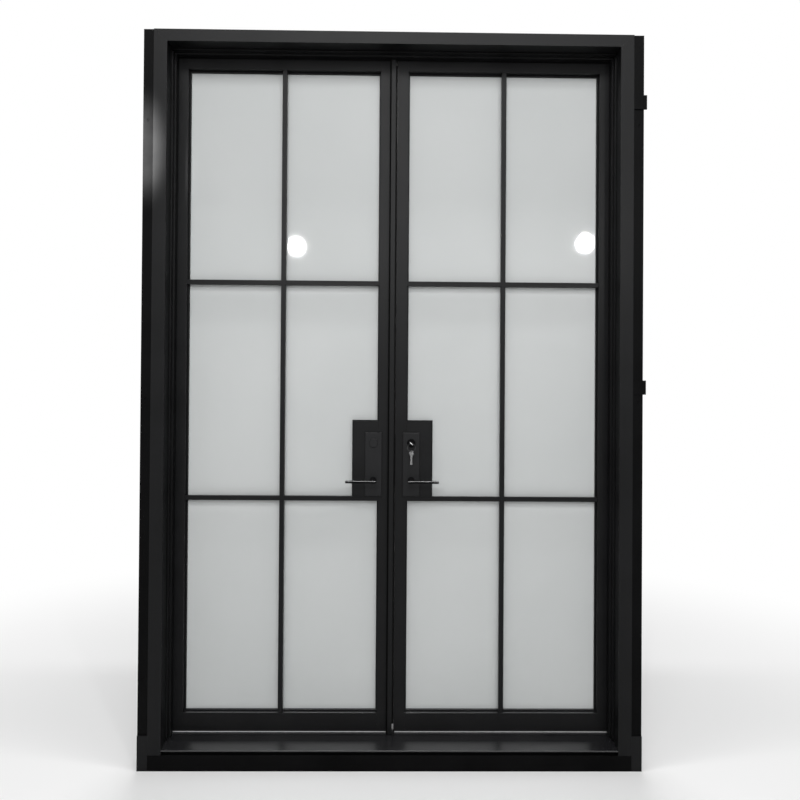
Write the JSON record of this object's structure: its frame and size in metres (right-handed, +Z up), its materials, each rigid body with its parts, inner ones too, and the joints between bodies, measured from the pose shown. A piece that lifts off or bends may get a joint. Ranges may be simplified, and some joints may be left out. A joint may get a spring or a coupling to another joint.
{
  "type": "french doors",
  "caption": "Inward-swinging pair of glazed black steel french doors in a box frame with sloped threshold, slim bars, frosted glass, long handle plates and lift-to-lock levers.",
  "frame": {"origin": "centre of the sill's underside", "axes": "+X across the doorway to the right as seen from outside, +Y from the outside to the inside, +Z up"},
  "size_m": [1.667, 0.226, 2.438],
  "materials": {
    "black_steel": "satin black powder coat",
    "flange_black": "semi-gloss black primer",
    "frosted_glass": "acid-etched frosted",
    "seal_rubber": "matt black",
    "handle_black": "satin black",
    "key_metal": "nickel plated",
    "bare_steel": "zinc plated"
  },
  "bodies": {
    "frame": {"left_jamb": "black_steel", "right_jamb": "black_steel", "head_jamb": "black_steel", "sill_base": "black_steel", "threshold": "black_steel", "frame_stops": "black_steel", "frame_seals": "seal_rubber", "left_wall_flange": "flange_black", "right_wall_flange": "flange_black", "jamb_feet": "black_steel", "wall_tabs": "flange_black", "frame_hinges": "black_steel", "hinge_pins": "bare_steel"},
    "left_leaf": {"left_leaf_hinges": "black_steel", "left_hinge_stile": "black_steel", "left_meeting_stile": "black_steel", "left_top_rail": "black_steel", "left_bottom_rail": "black_steel", "left_upright_bar": "black_steel", "left_cross_bars": "black_steel", "left_glass": "frosted_glass", "left_glazing_beads": "black_steel", "left_lock_box": "black_steel", "left_lock_case": "bare_steel", "left_outer_plate": "handle_black", "left_inner_plate": "handle_black", "astragal_cap": "black_steel", "astragal_web": "black_steel", "strike_block": "bare_steel", "blank_cover": "handle_black"},
    "left_lever": {"left_outer_lever": "handle_black", "left_inner_lever": "handle_black", "left_spindle": "bare_steel"},
    "top_bolt": {"top_shoot_bolt": "bare_steel"},
    "bottom_bolt": {"bottom_shoot_bolt": "bare_steel"},
    "right_leaf": {"right_leaf_hinges": "black_steel", "right_hinge_stile": "black_steel", "right_meeting_stile": "black_steel", "right_top_rail": "black_steel", "right_bottom_rail": "black_steel", "right_upright_bar": "black_steel", "right_cross_bars": "black_steel", "right_glass": "frosted_glass", "right_glazing_beads": "black_steel", "right_lock_box": "black_steel", "right_lock_case": "bare_steel", "right_outer_plate": "handle_black", "right_inner_plate": "handle_black", "cylinder_body": "key_metal"},
    "right_lever": {"right_outer_lever": "handle_black", "right_inner_lever": "handle_black", "right_spindle": "bare_steel"},
    "main_bolt": {"main_bolt": "bare_steel"},
    "deadbolt": {"deadbolt": "bare_steel"},
    "key_plug": {"cylinder_plug": "key_metal", "key": "key_metal", "key_ring": "key_metal", "spare_key": "key_metal", "thumb_turn": "key_metal"}
  },
  "joints": [
    {"name": "left_leaf_swing", "type": "hinge", "parent": "frame", "child": "left_leaf", "pos_m": [-0.749, 0.0855, 0], "axis": [0, 0, 1], "range_deg": [0, 105]},
    {"name": "right_leaf_swing", "type": "hinge", "parent": "frame", "child": "right_leaf", "pos_m": [0.749, 0.0855, 0], "axis": [0, 0, -1], "range_deg": [0, 105]},
    {"name": "left_lever_lift", "type": "hinge", "parent": "left_leaf", "child": "left_lever", "pos_m": [-0.0645, 0.012, 0.946], "axis": [0, 1, 0], "range_deg": [0, 45]},
    {"name": "top_bolt_slide", "type": "slide", "parent": "left_leaf", "child": "top_bolt", "axis": [0, 0, 1], "range_m": [0, 0.02]},
    {"name": "bottom_bolt_slide", "type": "slide", "parent": "left_leaf", "child": "bottom_bolt", "axis": [0, 0, -1], "range_m": [0, 0.02]},
    {"name": "right_lever_lift", "type": "hinge", "parent": "right_leaf", "child": "right_lever", "pos_m": [0.0645, 0.012, 0.946], "axis": [0, -1, 0], "range_deg": [0, 45]},
    {"name": "main_bolt_slide", "type": "slide", "parent": "right_leaf", "child": "main_bolt", "axis": [-1, 0, 0], "range_m": [0, 0.016]},
    {"name": "key_turn", "type": "hinge", "parent": "right_leaf", "child": "key_plug", "pos_m": [0.0645, 0, 1.072], "axis": [0, 1, 0], "range_deg": [0, 90]},
    {"name": "deadbolt_slide", "type": "slide", "parent": "right_leaf", "child": "deadbolt", "axis": [-1, 0, 0], "range_m": [0, 0.016]}
  ],
  "couplings": [
    {"joint": "top_bolt_slide", "follows": "left_lever_lift", "m_per_rad": 0.02546},
    {"joint": "bottom_bolt_slide", "follows": "left_lever_lift", "m_per_rad": 0.02546},
    {"joint": "main_bolt_slide", "follows": "right_lever_lift", "m_per_rad": 0.02037},
    {"joint": "deadbolt_slide", "follows": "key_turn", "m_per_rad": 0.01018}
  ]
}
